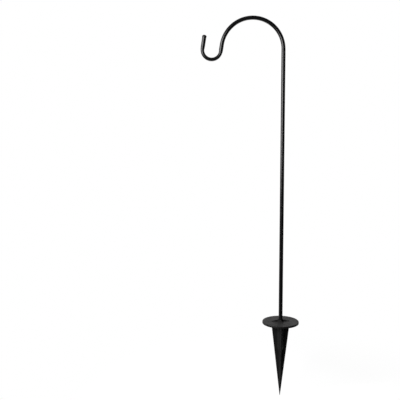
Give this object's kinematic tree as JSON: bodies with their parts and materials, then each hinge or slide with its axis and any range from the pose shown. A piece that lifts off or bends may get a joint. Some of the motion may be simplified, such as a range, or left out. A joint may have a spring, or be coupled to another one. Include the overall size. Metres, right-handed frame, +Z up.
{
  "type": "shepherds hook",
  "caption": "Bent steel tube crook with an upturned hanging seat, turning in the socket of a moulded four-bladed ground spike with a round flange.",
  "frame": {"origin": "on the socket's axis, in the plane of the flange rim's lower edge, which is the soil line once the spike is pushed in", "axes": "+Z up along the tube, -X towards the crook's hanging seat, so the crook lies in the XZ plane and -Y faces the viewer"},
  "size_m": [0.23, 0.086, 0.8904],
  "materials": {
    "powder_coated_steel": "gloss black powder coat with a faint orange peel",
    "black_plug_plastic": "black polyethylene, semi-gloss",
    "moulded_spike_plastic": "charcoal-black moulded polypropylene, fine spark texture"
  },
  "bodies": {
    "stake": {"ground_spike": "moulded_spike_plastic"},
    "hook": {"hook_tube": "powder_coated_steel", "tip_plug": "black_plug_plastic"}
  },
  "joints": [
    {"name": "hook_swivel", "type": "hinge", "parent": "stake", "child": "hook", "pos_m": [0, 0, 0], "axis": [0, 0, 1], "continuous": true}
  ]
}
